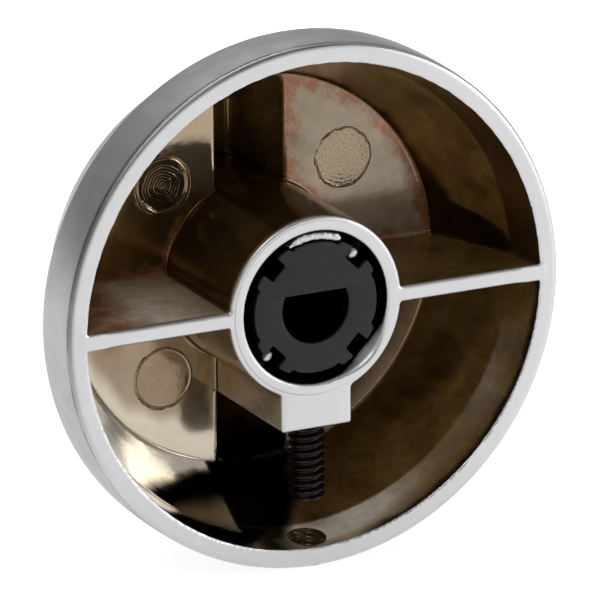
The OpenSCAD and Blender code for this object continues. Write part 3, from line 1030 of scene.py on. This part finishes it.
def tapped_hole():
    """The thread inside the skirt's access hole, following the skirt's curved walls."""
    rows, thread_depth = 60, 0.48
    outer_r, inner_r = SKIRT_HOLE_R + 0.08, SKIRT_HOLE_R - 0.1

    def ring(radius, share):
        def height(x, y):
            z_in, z_out = -math.sqrt(hollow_wall(y) ** 2 - x * x), -math.sqrt(SKIRT_R ** 2 - x * x)
            return z_in + (z_out - z_in) * share

        return screw_ring(radius, height)

    rings = [ring(outer_r, 0.0), ring(inner_r, 0.0)]
    for i in range(rows + 1):
        share = 0.02 + 0.96 * i / rows
        lead = min(1.0, 7 * min(share, 1 - share))

        def radius(a):
            turns = share * WALL_AT_HOLE / PITCH + a / (2 * math.pi)
            return inner_r - (1 - thread_radius(turns, 1.0, 0.0)) * thread_depth * lead

        rings.append(ring(radius, share))
    rings += [ring(inner_r, 1.0), ring(outer_r, 1.0)]
    points, faces = loft(rings[::-1], loop=True)
    obj = mesh_object("skirt_hole_thread", points, faces)
    obj.data.set_sharp_from_angle(angle=math.radians(45))
    # painted shade: the thread is darkened down the hole
    return on_casting(obj, METAL, {"inside": 1.0, "stain": 0.8, "dark": 0.7, "film": 0.4})


tapped_hole()


# ---------------- the stem insert
EAR_R, NOTCH_FLOOR, NOTCH_HALF = 9.15, 7.3, 1.35
EAR_OUT, DIP_OUT, DIP = 20.0, 27.0, 0.2  # degrees from the notch, and the dip's depth
INSERT_CORNER, INSERT_EDGE = 0.38, 0.12


def polar(r, degrees):
    """A point by its distance from the stem axis and its direction."""
    angle = math.radians(degrees)
    return r * math.cos(angle), r * math.sin(angle)


def arc(r, a0, a1, step=2.0):
    """Points along an arc between two directions in degrees."""
    count = max(2, int(abs(a1 - a0) / step) + 1)
    return [polar(r, a0 + (a1 - a0) * i / (count - 1)) for i in range(count)]


def insert_outline():
    """Four lobes between four notches, with a small ear and a dip at each lobe's corners."""
    at_ear = math.degrees(math.asin(NOTCH_HALF / EAR_R))
    half = [(NOTCH_FLOOR, NOTCH_HALF), *arc(EAR_R, at_ear, EAR_OUT, 8),
            polar(LOBE_R - DIP, EAR_OUT + 3.0), polar(LOBE_R, DIP_OUT)]
    outline = []
    for notch in range(-45, 315, 90):
        turn = Matrix.Rotation(math.radians(notch), 2)
        outline += [tuple(turn @ Vector(p)) for p in half]
        outline += arc(LOBE_R, notch + DIP_OUT + 2, notch + 88 - DIP_OUT)
        turn = Matrix.Rotation(math.radians(notch + 90), 2)
        outline += [tuple(turn @ Vector((x, -z))) for x, z in reversed(half)]
    return outline


NEARLY_STRAIGHT = math.radians(172)


def rounded(outline, radius):
    """The outline with each corner replaced by a curve of about the radius."""
    points = [Vector(p) for p in outline]
    made = []
    for i, here in enumerate(points):
        before, after = points[i - 1] - here, points[(i + 1) % len(points)] - here
        if before.length < 1e-6 or after.length < 1e-6:
            continue
        bend = before.angle(after)
        if bend > NEARLY_STRAIGHT:
            made.append(tuple(here))
            continue
        cut = min(radius / math.tan(bend / 2), 0.48 * before.length, 0.48 * after.length)
        a, b = here + before.normalized() * cut, here + after.normalized() * cut
        for t in (0, 0.25, 0.5, 0.75, 1):
            made.append(tuple(a * (1 - t) ** 2 + here * 2 * t * (1 - t) + b * t ** 2))
    return made


def stem_hole():
    """The D: a round hole with a flat on its upper side."""
    a = math.degrees(math.asin(STEM_FLAT / STEM_R))
    return arc(STEM_R, 180 - a, 360 + a, 3.0)


def extruded(name, outlines, y0, y1, edge):
    """A bevelled solid with holes, from x, z outlines, standing between two depths."""
    curve = bpy.data.curves.new(name, "CURVE")
    curve.dimensions = "2D"
    curve.fill_mode = "BOTH"
    for outline in outlines:
        spline = curve.splines.new("POLY")
        spline.points.add(len(outline) - 1)
        for point, (x, z) in zip(spline.points, outline):
            point.co = (x * MM, z * MM, 0, 1)
        spline.use_cyclic_u = True
    curve.extrude = (y1 - y0) / 2 * MM - edge * MM
    curve.bevel_depth = edge * MM
    curve.bevel_resolution = 3
    curve.offset = -edge * MM
    shape = placed(name + "_curve", curve)
    bpy.context.view_layer.update()
    mesh = bpy.data.meshes.new_from_object(shape.evaluated_get(bpy.context.evaluated_depsgraph_get()))
    bpy.data.objects.remove(shape)
    bpy.data.curves.remove(curve)
    upright = Matrix.Rotation(math.radians(90), 4, "X")
    mesh.transform(Matrix.Translation((0, (y0 + y1) / 2 * MM, 0)) @ upright)
    mesh.name = name
    face_outward(mesh)
    obj = smooth_object(name, mesh)
    mesh.set_sharp_from_angle(angle=math.radians(35))
    return obj


insert_outlines = [rounded(insert_outline(), INSERT_CORNER), stem_hole()]
insert = extruded("d_bore_insert", insert_outlines, INSERT_FACE, INSERT_END, INSERT_EDGE)
insert.data.materials.append(PLASTIC)
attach(insert, "insert")
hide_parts("stem_insert")


# ---------------- the set screw
SOCKET_HALF, SOCKET_DEPTH = 2.381 / 2, 3.2  # for a hexagon key of 3/32 inch
END_CHAMFER = 0.5
CUP_R, CUP_DEPTH = 1.15, 0.7
ROWS_PER_TURN = 18


def make_screw():
    """The threaded body, chamfered at both ends, with a hexagon socket and a cup point."""
    low, high = screw_low.z, screw_high.z
    rows = int((high - low) / PITCH * ROWS_PER_TURN)

    def hexagon(a):
        return SOCKET_HALF / math.cos((a % (math.pi / 3)) - math.pi / 6)

    rings = [screw_ring(0.05, low + SOCKET_DEPTH + 0.5), screw_ring(hexagon, low + SOCKET_DEPTH),
             screw_ring(hexagon, low + 0.18), screw_ring(lambda a: hexagon(a) + 0.12, low),
             screw_ring(SCREW_R - END_CHAMFER - 0.05, low)]
    for i in range(rows + 1):
        z = low + 0.02 + (high - low - 0.04) * i / rows
        end = min(SCREW_R, SCREW_R - END_CHAMFER + (z - low), SCREW_R - 2 * END_CHAMFER + (high - z))

        def radius(a):
            turns = z / PITCH - a / (2 * math.pi)
            return min(end, thread_radius(turns, SCREW_R, SCREW_R - THREAD_DEPTH))

        rings.append(screw_ring(radius, z))
    rings += [screw_ring(SCREW_R - 2 * END_CHAMFER - 0.1, high), screw_ring(CUP_R, high),
              screw_ring(0.05, high - CUP_DEPTH)]
    points, faces = loft(rings)
    obj = mesh_object("set_screw_threaded", points, faces)
    face_outward(obj.data)
    obj.data.set_sharp_from_angle(angle=math.radians(40))
    obj.data.materials.append(OXIDE)
    return obj


screw = make_screw()
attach(screw, "screw")
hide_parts("set_screw")
